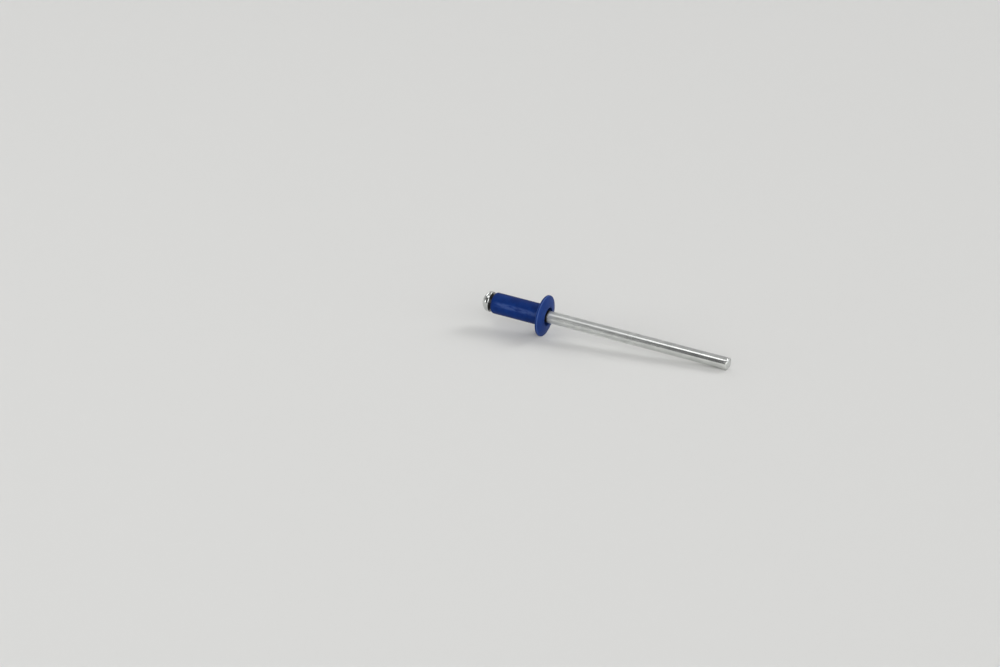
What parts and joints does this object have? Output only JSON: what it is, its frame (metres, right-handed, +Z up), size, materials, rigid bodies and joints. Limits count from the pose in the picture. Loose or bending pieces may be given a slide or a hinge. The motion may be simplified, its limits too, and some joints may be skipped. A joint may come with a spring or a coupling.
{
  "type": "blind rivet",
  "caption": "Blind rivet: a hollow blue body with a domed flange on a headed steel mandrel with a pinched break neck and tail, lying on its flange rim and tail.",
  "frame": {"origin": "on the ground, under the middle of the lying rivet's box", "axes": "+X along the rivet's length, towards the tail of the mandrel, +Y across it and +Z up; the rivet's own axis falls 4.4 degrees towards the tail"},
  "size_m": [0.0392, 0.0062, 0.0062],
  "materials": {
    "blue_paint": "satin",
    "bright_steel": "gloss"
  },
  "bodies": {
    "root": {"rivet_body": "blue_paint", "mandrel": "bright_steel"}
  },
  "joints": []
}
